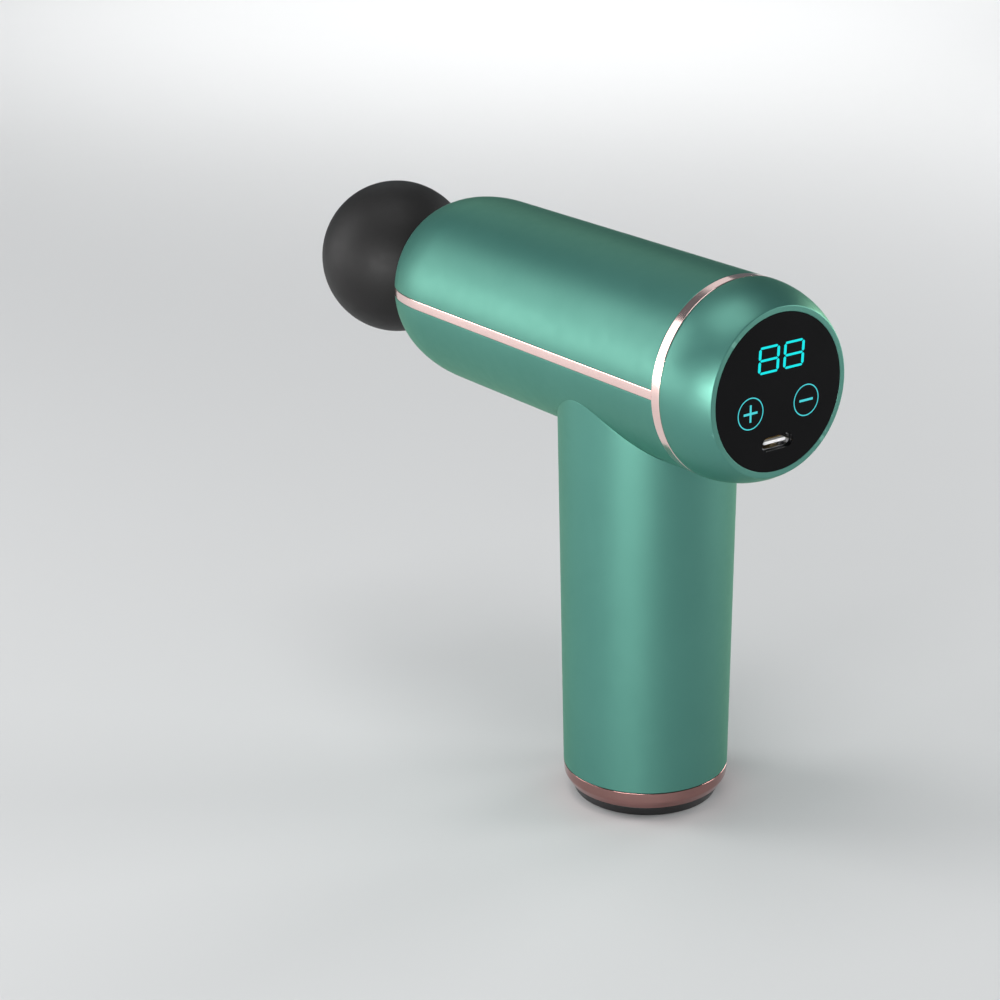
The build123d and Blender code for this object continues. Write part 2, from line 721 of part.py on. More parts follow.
def bearing_cage(kind, z0, width, x=0, y=0):
    """Ring with a round pocket for each ball."""
    pitch = (kind["inner"] + kind["outer"]) / 2
    half = kind["ball"] + 0.5
    mid = z0 + width / 2
    cage = ring_z(pitch + 0.35, pitch - 0.35, mid - half, mid + half, x, y)
    for place in ball_places(kind, z0, width, x, y):
        cage -= place * Rot(0, 90, 0) * Cylinder(kind["ball"] + 0.04, 2)
    return cage


MOTOR_BEARING_ZS = (LOW_BEARING_Z, TOP_BEARING_Z)
CRANK_BEARING_Z = AXIS_Z - ROD_T / 2


def motor_bearing_inners():
    return solids([bearing_races(MOTOR_BEARING, z, BEARING_W)[0] for z in MOTOR_BEARING_ZS])


def motor_bearing_outers():
    return solids([bearing_races(MOTOR_BEARING, z, BEARING_W)[1] for z in MOTOR_BEARING_ZS])


def motor_bearing_balls():
    return solids([b for z in MOTOR_BEARING_ZS for b in bearing_balls(MOTOR_BEARING, z, BEARING_W)])


def motor_bearing_cages():
    return solids([bearing_cage(MOTOR_BEARING, z, BEARING_W) for z in MOTOR_BEARING_ZS])


def crank_bearing_inner():
    return bearing_races(CRANK_BEARING, CRANK_BEARING_Z, ROD_T, 0, -CRANK_R)[0]


def crank_bearing_outer():
    return bearing_races(CRANK_BEARING, CRANK_BEARING_Z, ROD_T, 0, -CRANK_R)[1]


def crank_bearing_balls():
    return solids(bearing_balls(CRANK_BEARING, CRANK_BEARING_Z, ROD_T, 0, -CRANK_R))


def crank_bearing_cage():
    return bearing_cage(CRANK_BEARING, CRANK_BEARING_Z, ROD_T, 0, -CRANK_R)


# --- crank, rod and piston ----------------------------------------------------------------------

def crank_wheel():
    """Wheel with a hub down to the motor bearing, a seat for the pin and a counterweight."""
    top = WHEEL_Z + WHEEL_T
    wheel = post_z(11.0, WHEEL_Z, top)
    sector = post_z(WHEEL_R, WHEEL_Z, top) & block(-WHEEL_R, WHEEL_R, 0, WHEEL_R, WHEEL_Z, top)
    wheel += sector
    wheel += post_z(MOTOR_BEARING["inner"] - 0.1, PLATE_Z, WHEEL_Z)
    wheel += post_z(CRANK_BEARING["inner"] - 0.2, top, CRANK_BEARING_Z, 0, -CRANK_R)
    wheel -= post_z(SHAFT_R, PLATE_Z - 1, WHEEL_Z + 2.5)
    wheel -= post_z(PIN_R, WHEEL_Z + 2.8, CRANK_BEARING_Z + 1, 0, -CRANK_R)
    for side in (-1, 1):
        wheel -= post_z(1.6, WHEEL_Z - 1, top + 1, side * 7.6, -3.5)
    return wheel


def crank_pin():
    top = CRANK_BEARING_Z + ROD_T
    pin = post_z(PIN_R, WHEEL_Z + 2.8, top + 1.2, 0, -CRANK_R)
    return pin - ring_z(PIN_R + 1, PIN_R - 0.4, top + 0.02, top + 0.62, 0, -CRANK_R)


def crank_pin_clip():
    """Open spring clip in the groove of the crank pin, over the bearing's inner race."""
    top = CRANK_BEARING_Z + ROD_T
    clip = ring_z(3.6, PIN_R - 0.4, top + 0.02, top + 0.62, 0, -CRANK_R)
    return clip - block(-1.2, 1.2, -CRANK_R - 5, -CRANK_R, top - 1, top + 2)


def connecting_rod():
    """Rod from the crank pin's bearing to the wrist pin, lightened on both faces."""
    z0, z1 = CRANK_BEARING_Z, CRANK_BEARING_Z + ROD_T
    wrist_y = ROD_L - CRANK_R
    rod = post_z(BIG_END_R, z0, z1, 0, -CRANK_R) + post_z(SMALL_END_R, z0, z1, 0, wrist_y)
    rod += block(-3.5, 3.5, 3.0, wrist_y - 2, z0 + 0.5, z1 - 0.5)
    for low, high in ((z0 - 1, z0 + 1.7), (z1 - 1.7, z1 + 1)):
        rod -= block(-1.9, 1.9, 9.0, wrist_y - 7, low, high)
    rod -= post_z(CRANK_BEARING["od"], z0 - 1, z1 + 1, 0, -CRANK_R)
    rod -= post_z(WRIST_R + 1, z0 - 1, z1 + 1, 0, wrist_y)
    return rod


def wrist_bush():
    return ring_z(WRIST_R + 1, WRIST_R, CRANK_BEARING_Z, CRANK_BEARING_Z + ROD_T, 0, ROD_L - CRANK_R)


def wrist_pin():
    half = POCKET_HALF_H - 0.3
    return post_z(WRIST_R, AXIS_Z - half, AXIS_Z + half, 0, ROD_L - CRANK_R)


def piston():
    """Round slider: a pocket for the rod behind and a socket for the heads in front."""
    body = turned_y(
        Line((PISTON_Y, 0), (PISTON_Y, PISTON_R - 0.8)),
        Line((PISTON_Y, PISTON_R - 0.8), (PISTON_Y + 0.8, PISTON_R)),
        Line((PISTON_Y + 0.8, PISTON_R), (PISTON_FRONT_Y - 0.8, PISTON_R)),
        Line((PISTON_FRONT_Y - 0.8, PISTON_R), (PISTON_FRONT_Y, PISTON_R - 0.8)),
        Line((PISTON_FRONT_Y, PISTON_R - 0.8), (PISTON_FRONT_Y, 0)),
        Line((PISTON_FRONT_Y, 0), (PISTON_Y, 0)),
    )
    half_w, half_h = POCKET_HALF_W, POCKET_HALF_H
    body -= block(-half_w, half_w, PISTON_Y - 1, POCKET_END_Y, AXIS_Z - half_h, AXIS_Z + half_h)
    body -= post_y(SOCKET_R, SOCKET_END_Y, PISTON_FRONT_Y + 1)
    for y in ORING_YS:
        body -= post_y(SHANK_R + 2 * ORING_R + 0.05, y - ORING_R - 0.05, y + ORING_R + 0.05)
    return body


def socket_orings():
    """Two rubber rings in the socket that grip the shank of a head."""
    centre_r = SHANK_R + ORING_R + 0.01
    ring = Rot(90, 0, 0) * Torus(centre_r, ORING_R)
    return solids([Pos(0, y, AXIS_Z) * ring for y in ORING_YS])


# --- head ---------------------------------------------------------------------------------------

def head_stem():
    """Moulded stem: shank for the socket, collar, and a spool that anchors the ball."""
    collar_y = PISTON_FRONT_Y + HEAD_GAP
    stem = turned_y(
        Line((SHANK_END_Y, 0), (SHANK_END_Y, SHANK_R - 1.2)),
        Line((SHANK_END_Y, SHANK_R - 1.2), (SHANK_END_Y + 1.6, SHANK_R)),
        Line((SHANK_END_Y + 1.6, SHANK_R), (collar_y, SHANK_R)),
        Line((collar_y, SHANK_R), (collar_y, COLLAR_R - 0.6)),
        Line((collar_y, COLLAR_R - 0.6), (collar_y + 0.6, COLLAR_R)),
        Line((collar_y + 0.6, COLLAR_R), (94.0, COLLAR_R)),
        Line((94.0, COLLAR_R), (94.0, 4.5)),
        Line((94.0, 4.5), (BALL_Y - 4, 4.5)),
        Line((BALL_Y - 4, 4.5), (BALL_Y - 4, ANCHOR_R)),
        Line((BALL_Y - 4, ANCHOR_R), (BALL_Y - 1, ANCHOR_R)),
        Line((BALL_Y - 1, ANCHOR_R), (BALL_Y - 1, 0)),
        Line((BALL_Y - 1, 0), (SHANK_END_Y, 0)),
    )
    return stem - post_y(2.4, SHANK_END_Y - 1, BALL_Y - 8)


def ball_cover():
    """Soft ball: a thick skin with a solid root round the stem."""
    centre = Pos(0, BALL_Y, AXIS_Z)
    ball = centre * Sphere(BALL_R) - centre * Sphere(BALL_R - SKIN_T)
    ball += post_y(COLLAR_R + 3, 93.5, 96.0) & centre * Sphere(BALL_R - 0.5)
    return ball - post_y(COLLAR_R, 80, 94.0) - post_y(4.5, 93, 97)


# --- batteries ----------------------------------------------------------------------------------

def battery_cells():
    """Two round lithium cells side by side."""
    cells = []
    for side in (-1, 1):
        cell = turned_z([(0, CELL_Z0), (CELL_R - 0.5, CELL_Z0), (CELL_R, CELL_Z0 + 0.5),
                         (CELL_R, CELL_Z1 - 1.5), (CELL_R - 1, CELL_Z1 - 0.5), (CELL_R - 3, CELL_Z1 - 0.5),
                         (CELL_R - 3.2, CELL_Z1), (0, CELL_Z1)], side * CELL_X)
        cells.append(cell)
    return solids(cells)


def battery_holders():
    """End plates that hold the cells apart and clear of the handle."""
    low_floor, top_floor = CELL_Z0 - STRAP_T, CELL_Z1 + STRAP_T
    low = post_z(CELL_HOLDER_R, PLUG_TOP_Z + 0.3, low_floor + 4)
    top = post_z(CELL_HOLDER_R, top_floor - 4, BMS_Z)
    for side in (-1, 1):
        low -= post_z(CELL_R + FIT, low_floor, low_floor + 5, side * CELL_X)
        low -= post_z(1.25, PLUG_TOP_Z, low_floor + 5, 0, side * BASE_SCREW_Y)
        top -= post_z(CELL_R + FIT, top_floor - 5, top_floor, side * CELL_X)
    low -= block(-CELL_X, CELL_X, -STRAP_HALF_W, STRAP_HALF_W, low_floor, CELL_Z0 + 0.1)
    return solids([low, top])


def battery_straps():
    """Nickel straps: one across the two cells below, one tab on each cell above."""
    half = STRAP_HALF_W
    low = block(-CELL_X - 4, CELL_X + 4, -half, half, CELL_Z0 - STRAP_T, CELL_Z0)
    tabs = [block(side * CELL_X - 3, side * CELL_X + 3, -half, half, CELL_Z1, CELL_Z1 + STRAP_T)
            for side in (-1, 1)]
    return solids([low] + tabs)


def battery_board():
    """Protection board on the upper holder, with its switches near the edge."""
    board = post_z(BMS_R, BMS_Z, BMS_Z + BOARD_T)
    top = BMS_Z + BOARD_T
    chips = [block(x - 2, x + 2, 12, 15, top, top + 1.2) for x in (-6, 0, 6)]
    return solids([board] + chips)


# --- write every node ---------------------------------------------------------------------------

NODES = dict(
    barrel_upper_shell=barrel_upper_shell, barrel_lower_shell=barrel_lower_shell,
    side_trim_left=lambda: side_trim(-1), side_trim_right=lambda: side_trim(1),
    nose_seal=nose_seal, handle_shell=handle_shell, base_trim_ring=base_trim_ring,
    base_plug=base_plug, foot_pad=foot_pad, base_screws=base_screws,
    rear_trim_ring=rear_trim_ring, rear_cap=rear_cap, display_panel=display_panel,
    display_digits=display_digits, touch_icons=touch_icons,
    display_led_module=display_led_module, touch_pads=touch_pads, display_board=display_board,
    board_screws=board_screws, board_standoffs=board_standoffs, control_board=control_board,
    control_components=control_components, usb_shell=usb_shell, usb_tongue=usb_tongue,
    usb_contacts=usb_contacts, motor_leads=motor_leads, battery_leads=battery_leads,
    chassis=chassis, chassis_dampers=chassis_dampers, chassis_screws=chassis_screws,
    guide_sleeve=guide_sleeve, motor_base=motor_base, motor_screws=motor_screws,
    stator_core=stator_core, stator_windings=stator_windings, rotor_bell=rotor_bell,
    rotor_magnets=rotor_magnets, motor_shaft=motor_shaft,
    motor_bearing_inners=motor_bearing_inners, motor_bearing_outers=motor_bearing_outers,
    motor_bearing_balls=motor_bearing_balls, motor_bearing_cages=motor_bearing_cages,
    crank_bearing_inner=crank_bearing_inner, crank_bearing_outer=crank_bearing_outer,
    crank_bearing_balls=crank_bearing_balls, crank_bearing_cage=crank_bearing_cage,
    crank_wheel=crank_wheel, crank_pin=crank_pin, crank_pin_clip=crank_pin_clip,
    connecting_rod=connecting_rod, wrist_bush=wrist_bush, wrist_pin=wrist_pin,
    piston=piston, socket_orings=socket_orings, head_stem=head_stem, ball_cover=ball_cover,
    battery_cells=battery_cells, battery_holders=battery_holders,
    battery_straps=battery_straps, battery_board=battery_board,
)

os.makedirs("parts", exist_ok=True)
for node, make in NODES.items():
    export_step(make(), f"parts/{node}.step")
print(len(NODES), "nodes")
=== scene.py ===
import bmesh
import bpy
import json
import math
from mathutils import Matrix, Vector


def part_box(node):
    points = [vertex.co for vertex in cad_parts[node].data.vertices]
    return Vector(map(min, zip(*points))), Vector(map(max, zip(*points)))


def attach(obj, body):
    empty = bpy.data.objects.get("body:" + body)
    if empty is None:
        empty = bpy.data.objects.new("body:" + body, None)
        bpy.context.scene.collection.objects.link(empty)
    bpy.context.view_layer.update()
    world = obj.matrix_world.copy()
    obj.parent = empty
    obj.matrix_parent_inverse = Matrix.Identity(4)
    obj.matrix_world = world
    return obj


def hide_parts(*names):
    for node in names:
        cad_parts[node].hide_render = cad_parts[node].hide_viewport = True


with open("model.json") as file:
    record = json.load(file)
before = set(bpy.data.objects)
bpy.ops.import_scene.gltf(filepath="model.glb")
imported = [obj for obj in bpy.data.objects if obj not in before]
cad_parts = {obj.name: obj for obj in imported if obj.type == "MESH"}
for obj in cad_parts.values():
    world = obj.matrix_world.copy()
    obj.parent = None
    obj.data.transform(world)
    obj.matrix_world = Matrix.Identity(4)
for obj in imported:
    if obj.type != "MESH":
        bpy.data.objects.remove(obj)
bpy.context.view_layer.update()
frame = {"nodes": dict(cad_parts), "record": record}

# Metres throughout, in the frame of the CAD model. Sizes come from its boxes where they can.
MM = 0.001


def snapped(value):
    """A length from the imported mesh, to the nearest 0.05 mm."""
    return round(value / (0.05 * MM)) * 0.05 * MM


def span(node, axis):
    """Lowest and highest value of a CAD node along an axis."""
    low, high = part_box(node)
    return snapped(low[axis]), snapped(high[axis])


X, Y, Z = 0, 1, 2
CAP_Y, RING_Y = span("rear_trim_ring", Y)
BARREL_R = (span("rear_trim_ring", Z)[1] - span("rear_trim_ring", Z)[0]) / 2
AXIS_Z = sum(span("rear_trim_ring", Z)) / 2
REAR_Y = span("rear_cap", Y)[0]
CAP_SPIGOT_Y = span("rear_cap", Y)[1]
PANEL_R = span("display_panel", X)[1] + 0.05 * MM
PANEL_T = span("display_panel", Y)[1] - span("display_panel", Y)[0]
FACE_Y = span("barrel_upper_shell", Y)[1]
STRIP_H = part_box("side_trim_left")[1][Z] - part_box("side_trim_left")[0][Z]
HANDLE_Z = span("handle_shell", Z)[0]
HANDLE_LOW_R = span("base_trim_ring", X)[1]
HANDLE_TOP_R = span("handle_shell", X)[1]
BASE_RING_Z = span("base_trim_ring", Z)[0]
PLUG_TOP_Z = span("base_plug", Z)[1]
FOOT_T = span("foot_pad", Z)[1]
FOOT_R = span("foot_pad", X)[1]
BALL_R = (span("ball_cover", Z)[1] - span("ball_cover", Z)[0]) / 2
BALL_Y = span("ball_cover", Y)[1] - BALL_R
STEM_END_Y, STEM_TIP_Y = span("head_stem", Y)
COLLAR_R = span("head_stem", X)[1]
PISTON_FRONT_Y = span("piston", Y)[1]

# Sizes that the boxes don't give.
WALL = 2.0 * MM
GROOVE = 1.0 * MM         # depth of the groove under the side strips
NOSE_Y = FACE_Y - 19.55 * MM  # where the nose starts to round
FACE_R = 16.3 * MM        # flat face at the end of the nose
NOSE_HOLE_R = 14.5 * MM
FLANGE_R = 15.6 * MM      # flange of the rubber ring in the nose
FLANGE_T = 0.5 * MM
SEAL_INNER_R = 12.6 * MM
SEAL_Y = 79.4 * MM        # inner end of that ring
WELL_R = 19.5 * MM        # opening in the barrel over the handle
WELL_LOW_Z = 40 * MM      # any height well under the barrel
BOSS_R = 3.2 * MM
DAMPER_T = 1.0 * MM       # rubber washers that stand on the bosses
FRONT_BOSS_X = 9.0 * MM
SCREW_HEAD_R = 2.4 * MM   # of the screws into the bosses
RIM_R = 20.05 * MM        # outer edge of the flat rim round the panel
POST_CIRCLE_R = 16.2 * MM
POST_R = 2.0 * MM
HANDLE_WALL = 1.8 * MM
BASE_RING_LOW_R = 19.5 * MM
SPIGOT_R = 18.6 * MM      # black foot's spigot in the handle
SPIGOT_WALL = 2.0 * MM
SKIN_T = 2.2 * MM         # soft skin of the ball
SPOOL_R = 4.5 * MM        # stem's neck inside the ball
SPOOL_Y = 94.0 * MM
ROOT_Y = 96.0 * MM        # inner face of the skin round that neck
SHANK_R = 5.85 * MM
ANCHOR_R = 7.0 * MM       # stem's head inside the ball
STEM_BORE_R = 2.4 * MM

# How the meshes are made.
ROUND = 0.16 * MM         # edge rounding of the mouldings
EASED = 1.6               # a plain wall starts this many edge radii from its corner
SEAM = 0.05 * MM          # half the gap between two mouldings
TURNS = 256               # points round a turned piece
WELD = 1e-8               # points closer than this are one
PIECE_ANGLE = 40          # degrees; edges sharper than this stay sharp
CAD_ANGLE = 30            # the same for the meshes of the CAD model


# --- mesh tools ---------------------------------------------------------------------------------

def mix(a, b, t):
    """From a to b as t goes from 0 to 1."""
    return a + (b - a) * t


def smooth(mesh, sharp_angle):
    mesh.shade_smooth()
    mesh.set_sharp_from_angle(angle=math.radians(sharp_angle))


def new_piece(name, bm):
    """Mesh object with smooth faces and sharp edges over an angle."""
    bmesh.ops.remove_doubles(bm, verts=bm.verts, dist=WELD)
    bmesh.ops.recalc_face_normals(bm, faces=bm.faces)
    mesh = bpy.data.meshes.new(name)
    bm.to_mesh(mesh)
    bm.free()
    smooth(mesh, PIECE_ANGLE)
    piece = bpy.data.objects.new(name, mesh)
    bpy.context.scene.collection.objects.link(piece)
    return piece


def one_face(row):
    """The end of a sweep as a single face."""
    return [row]


def swept(bm, sections, closed, end_faces=one_face):
    """Skin through closed outlines with the same number of points; open ends are filled."""
    rows = [[bm.verts.new(p) for p in section] for section in sections]
    pairs = zip(rows, rows[1:] + rows[:1]) if closed else zip(rows, rows[1:])
    for row, following in pairs:
        for i in range(len(row)):
            j = (i + 1) % len(row)
            bm.faces.new((row[i], row[j], following[j], following[i]))
    if not closed:
        for row in (rows[0], rows[-1]):
            for face in end_faces(row):
                bm.faces.new(face)


def rounded(corners, steps=5):
    """Closed 2D outline from (a, b) or (a, b, radius) corners, with support points by each arc."""
    outline = []
    for i, corner in enumerate(corners):
        here = Vector(corner[:2])
        if len(corner) < 3 or corner[2] == 0:
            outline.append(tuple(here))
            continue
        before = (Vector(corners[i - 1][:2]) - here).normalized()
        after = (Vector(corners[(i + 1) % len(corners)][:2]) - here).normalized()
        half = before.angle(after) / 2
        cut = corner[2] / math.tan(half)
        centre = here + (before + after).normalized() * (corner[2] / math.sin(half))
        start = here + before * cut - centre
        sweep = start.angle_signed(here + after * cut - centre)
        outline.append(tuple(here + before * cut * 1.5))
        for k in range(steps + 1):
            turned_start = Matrix.Rotation(-sweep * k / steps, 2) @ start
            outline.append(tuple(centre + turned_start))
        outline.append(tuple(here + after * cut * 1.5))
    return outline


def arc(centre, radii, first, last, steps):
    """Points of an elliptical arc, angles in degrees."""
    points = []
    for k in range(steps + 1):
        a = math.radians(mix(first, last, k / steps))
        points.append((centre[0] + radii[0] * math.cos(a), centre[1] + radii[1] * math.sin(a)))
    return points


def turned(bm, outline, axis="Y", centre=(0.0, 0.0), turns=TURNS):
    """Solid turned from (along, radius) points, about the barrel's axis or an upright one."""
    sections = []
    for k in range(turns):
        a = 2 * math.pi * k / turns
        c, s = math.cos(a), math.sin(a)
        if axis == "Y":
            sections.append([(centre[0] + r * c, y, AXIS_Z + centre[1] + r * s) for y, r in outline])
        else:
            sections.append([(centre[0] + r * c, centre[1] + r * s, z) for z, r in outline])
    swept(bm, sections, closed=True)


def turned_piece(name, outline, axis="Y"):
    bm = bmesh.new()
    turned(bm, outline, axis)
    return new_piece(name, bm)


# --- barrel shells and side strips --------------------------------------------------------------

def barrel_path(start_y):
    """Stations along the barrel's wall: (outer y, outer r, inner y, inner r)."""
    stations = []
    inner_r = BARREL_R - WALL
    for y, r in arc((start_y + ROUND, BARREL_R - ROUND), (ROUND, ROUND), 180, 90, 4):
        stations.append((y, r, start_y, inner_r))
    for k in range(13):
        y = mix(start_y + 2 * ROUND, NOSE_Y, k / 12)
        stations.append((y, BARREL_R, y, inner_r))
    steps = 36
    outer = arc((NOSE_Y, FACE_R), (FACE_Y - NOSE_Y, BARREL_R - FACE_R), 90, 0, steps)
    inner = arc((NOSE_Y, FACE_R), (FACE_Y - WALL - NOSE_Y, inner_r - FACE_R), 90, 0, steps)
    for o, i in zip(outer[1:], inner[1:]):
        stations.append((*o, *i))
    return stations


def at(station, depth, angle):
    """Point in the barrel's wall: depth below the surface, angle up from the -X side."""
    t = depth / WALL
    y = mix(station[0], station[2], t)
    r = mix(station[1], station[3], t)
    return Vector((-r * math.cos(angle), y, AXIS_Z + r * math.sin(angle)))


def height_angle(station, depth, height):
    return math.asin(height / mix(station[1], station[3], depth / WALL))


def half_shell(bm, side, start_y):
    """Upper (side 1) or lower (-1) half of the barrel, grooved along its edges for the strips."""
    half = STRIP_H / 2
    path = barrel_path(start_y)
    path.append((FACE_Y, FLANGE_R + SEAM, FACE_Y - WALL, FLANGE_R + SEAM))
    path.append((FACE_Y - FLANGE_T, FLANGE_R + SEAM, FACE_Y - WALL, FLANGE_R))
    path.append((FACE_Y - FLANGE_T, NOSE_HOLE_R, FACE_Y - WALL, NOSE_HOLE_R))
    edge = [(WALL, -half), (GROOVE, -half), (GROOVE, 0.0)]
    sections = []
    for station in path:
        side_points = [(d, height_angle(station, d, half + w)) for d, w in edge]
        for w, d in corner_points(ROUND):
            side_points.append((d, height_angle(station, d, half + w)))
        first = height_angle(station, 0.0, half + EASED * ROUND)
        arc_steps = TURNS // 2
        section = [at(station, d, a) for d, a in side_points]
        section += [at(station, 0.0, mix(first, math.pi - first, k / arc_steps))
                    for k in range(arc_steps + 1)]
        section += [at(station, d, math.pi - a) for d, a in side_points[::-1]]
        inner_first = side_points[0][1]
        section += [at(station, WALL, mix(math.pi - inner_first, inner_first, k / arc_steps))
                    for k in range(1, arc_steps)]
        if side < 0:
            section = [Vector((p.x, p.y, 2 * AXIS_Z - p.z)) for p in section]
        sections.append(section)
    swept(bm, sections, closed=False, end_faces=half_ring_faces)


def half_ring_faces(row):
    """Quads across the wall at the end of a half shell, and a face for each of its two edges."""
    steps = TURNS // 2
    edge = len(row) // 2 - steps
    outer = row[edge:edge + steps + 1]
    far_edge = row[edge + steps + 1:2 * edge + steps + 1]
    inner = [row[0]] + row[:2 * edge + steps:-1] + [far_edge[-1]]
    faces = [(outer[k], outer[k + 1], inner[k + 1], inner[k]) for k in range(steps)]
    return faces + [row[:edge + 1], [outer[-1]] + far_edge]


def corner_points(r, steps=4):
    """Quarter round from the side wall (0, r) to the surface (r, 0): (across, depth)."""
    points = []
    for k in range(steps + 1):
        a = math.pi / 2 * k / steps
        points.append((r - r * math.cos(a), r - r * math.sin(a)))
    return points


def strip(bm, side, start_y):
    """Metal strip in the groove between the halves, with softened edges."""
    reach = STRIP_H / 2 - SEAM
    flat = reach - EASED * ROUND
    sections = []
    path = barrel_path(start_y)
    path.append((FACE_Y, FLANGE_R + 2 * SEAM, FACE_Y - WALL, FLANGE_R + 2 * SEAM))
    for station in path:
        outline = [(GROOVE, -reach)]
        outline += [(d, -reach + w) for w, d in corner_points(ROUND)]
        outline += [(0.0, mix(-flat, flat, k / 8)) for k in range(9)]
        outline += [(d, reach - w) for w, d in corner_points(ROUND)[::-1]]
        outline += [(GROOVE, reach)]
        section = [at(station, d, height_angle(station, d, h)) for d, h in outline]
        if side > 0:
            section = [Vector((-p.x, p.y, p.z)) for p in section]
        sections.append(section)
    swept(bm, sections, closed=False)


def cut(piece, cutter):
    """Takes the cutter's shape out of the piece."""
    change = piece.modifiers.new("cut", "BOOLEAN")
    change.operation = "DIFFERENCE"
    change.solver = "EXACT"
    change.object = cutter
    apply_modifiers(piece)
    bpy.data.objects.remove(cutter)


def apply_modifiers(piece):
    graph = bpy.context.evaluated_depsgraph_get()
    made = bpy.data.meshes.new_from_object(piece.evaluated_get(graph))
    old = piece.data
    name = old.name
    piece.modifiers.clear()
    piece.data = made
    bpy.data.meshes.remove(old)
    made.name = name


def barrel_pieces():
    start = RING_Y + SEAM
    bm = bmesh.new()
    half_shell(bm, 1, start)
    upper = new_piece("barrel_upper", bm)
    bm = bmesh.new()
    half_shell(bm, -1, start)
    lower = new_piece("barrel_lower", bm)
    bm = bmesh.new()
    turned(bm, [(WELL_LOW_Z, 0.0), (WELL_LOW_Z, WELL_R), (AXIS_Z, WELL_R), (AXIS_Z, 0.0)], "Z", turns=96)
    cut(lower, new_piece("well", bm))
    root_r = BARREL_R - 0.5 * WALL
    lowest = AXIS_Z - root_r
    bm = bmesh.new()
    for x, y, top in damper_places():
        boss = rounded([(lowest, 0.0), (lowest, BOSS_R), (top, BOSS_R, 0.2 * MM), (top, 0.0)])
        turned(bm, boss, "Z", (x, y), 48)
    for point in bm.verts:
        if point.co.z < lowest + 0.01 * MM:
            point.co.z = AXIS_Z - math.sqrt(root_r ** 2 - point.co.x ** 2)
    bosses = new_piece("bosses", bm)
    bm = bmesh.new()
    bm.from_mesh(lower.data)
    bm.from_mesh(bosses.data)
    bm.to_mesh(lower.data)
    bm.free()
    bpy.data.objects.remove(bosses)
    strips = []
    for side, name in ((-1, "side_strip_left"), (1, "side_strip_right")):
        bm = bmesh.new()
        strip(bm, side, start)
        strips.append(new_piece(name, bm))
    return upper, lower, strips


def damper_places():
    """(x, y, underside) of the four rubber washers that stand on the bosses."""
    low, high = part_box("chassis_dampers")
    rear_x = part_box("chassis_screws")[1][X] - SCREW_HEAD_R
    places = []
    for side in (-1, 1):
        places.append((side * FRONT_BOSS_X, high[Y] - BOSS_R, low[Z]))
        places.append((side * rear_x, low[Y] + BOSS_R, high[Z] - DAMPER_T))
    return places


# --- handle -------------------------------------------------------------------------------------

def handle_radius(z):
    top = AXIS_Z - BARREL_R
    return mix(HANDLE_LOW_R, HANDLE_TOP_R, (z - HANDLE_Z) / (top - HANDLE_Z))


def under_barrel(angle, inset):
    """Height at which the handle's wall meets the underside of the barrel."""
    z = AXIS_Z - BARREL_R
    for _ in range(12):
        x = (handle_radius(z) - inset) * math.cos(angle)
        z = AXIS_Z - math.sqrt(BARREL_R ** 2 - x ** 2)
    return z


def handle_piece():
    """Tapered tube whose top edge follows the underside of the barrel."""
    rows = 48
    sections = []
    for k in range(TURNS):
        a = 2 * math.pi * k / TURNS
        outline = []
        for inset, order in ((0.0, 1), (HANDLE_WALL, -1)):
            top = under_barrel(a, inset) - 0.03 * MM
            wall = []
            if inset == 0.0:
                low = HANDLE_Z + SEAM
                first, last = low + EASED * ROUND, top - EASED * ROUND
                wall += [(low + d, -w) for w, d in corner_points(ROUND)[::-1]]
                wall += [(mix(first, last, i / rows), 0.0) for i in range(rows + 1)]
                wall += [(top - d, -w) for w, d in corner_points(ROUND)]
            else:
                wall += [(mix(HANDLE_Z + SEAM, top, i / rows), -inset) for i in range(rows + 1)]
            outline += wall[::order]
        c, s = math.cos(a), math.sin(a)
        points = [(handle_radius(z) + w, z) for z, w in outline]
        sections.append([(r * c, r * s, z) for r, z in points])
    bm = bmesh.new()
    swept(bm, sections, closed=True)
    return new_piece("handle_tube", bm)


# --- rear cap, rings, seal and base -------------------------------------------------------------

def rear_cap_piece():
    """Domed cap with a flat rim round the panel, its seat, posts and spigot."""
    outer = BARREL_R
    depth = CAP_Y - REAR_Y
    drop = BARREL_R - RIM_R
    bend = (depth ** 2 + drop ** 2) / (2 * drop)
    full = math.degrees(math.asin(depth / bend))
    dome = arc((CAP_Y, outer - bend), (bend, bend), 90, 90 + full, 40)
    seat = REAR_Y + PANEL_T
    seat_r = PANEL_R - 1.45 * MM
    back = seat + 1.5 * MM
    inner = BARREL_R - WALL
    spigot, bore = inner - 0.06 * MM, inner - 1.5 * MM
    outline = [(CAP_Y - SEAM, outer - ROUND)]
    outline += [(y, r) for y, r in dome if y < CAP_Y - 0.3 * MM and y > REAR_Y + 0.35 * MM]
    outline += rounded_corner(dome[-3], (REAR_Y, RIM_R - 0.02 * MM), (REAR_Y, PANEL_R), 0.35 * MM)
    outline += rounded_corner((REAR_Y, RIM_R), (REAR_Y, PANEL_R + 0.02 * MM), (seat, PANEL_R), 0.12 * MM)
    outline += [(seat, PANEL_R), (seat, seat_r), (back, seat_r)]
    outline += [(back, inner - 2.4 * MM), (CAP_Y, bore), (CAP_SPIGOT_Y, bore)]
    outline += [(CAP_SPIGOT_Y, inner - 0.3 * MM), (CAP_SPIGOT_Y - 0.5 * MM, spigot)]
    outline += [(CAP_Y - SEAM, spigot)]
    bm = bmesh.new()
    turned(bm, outline)
    post_start, post_end = seat + 0.5 * MM, span("display_board", Y)[0]
    for angle in (90, 210, 330):
        a = math.radians(angle)
        place = (POST_CIRCLE_R * math.cos(a), POST_CIRCLE_R * math.sin(a))
        post = [(post_start, 0.0), (post_start, POST_R), (post_end, POST_R), (post_end, 0.0)]
        turned(bm, post, "Y", place, 32)
    return new_piece("rear_dome", bm)


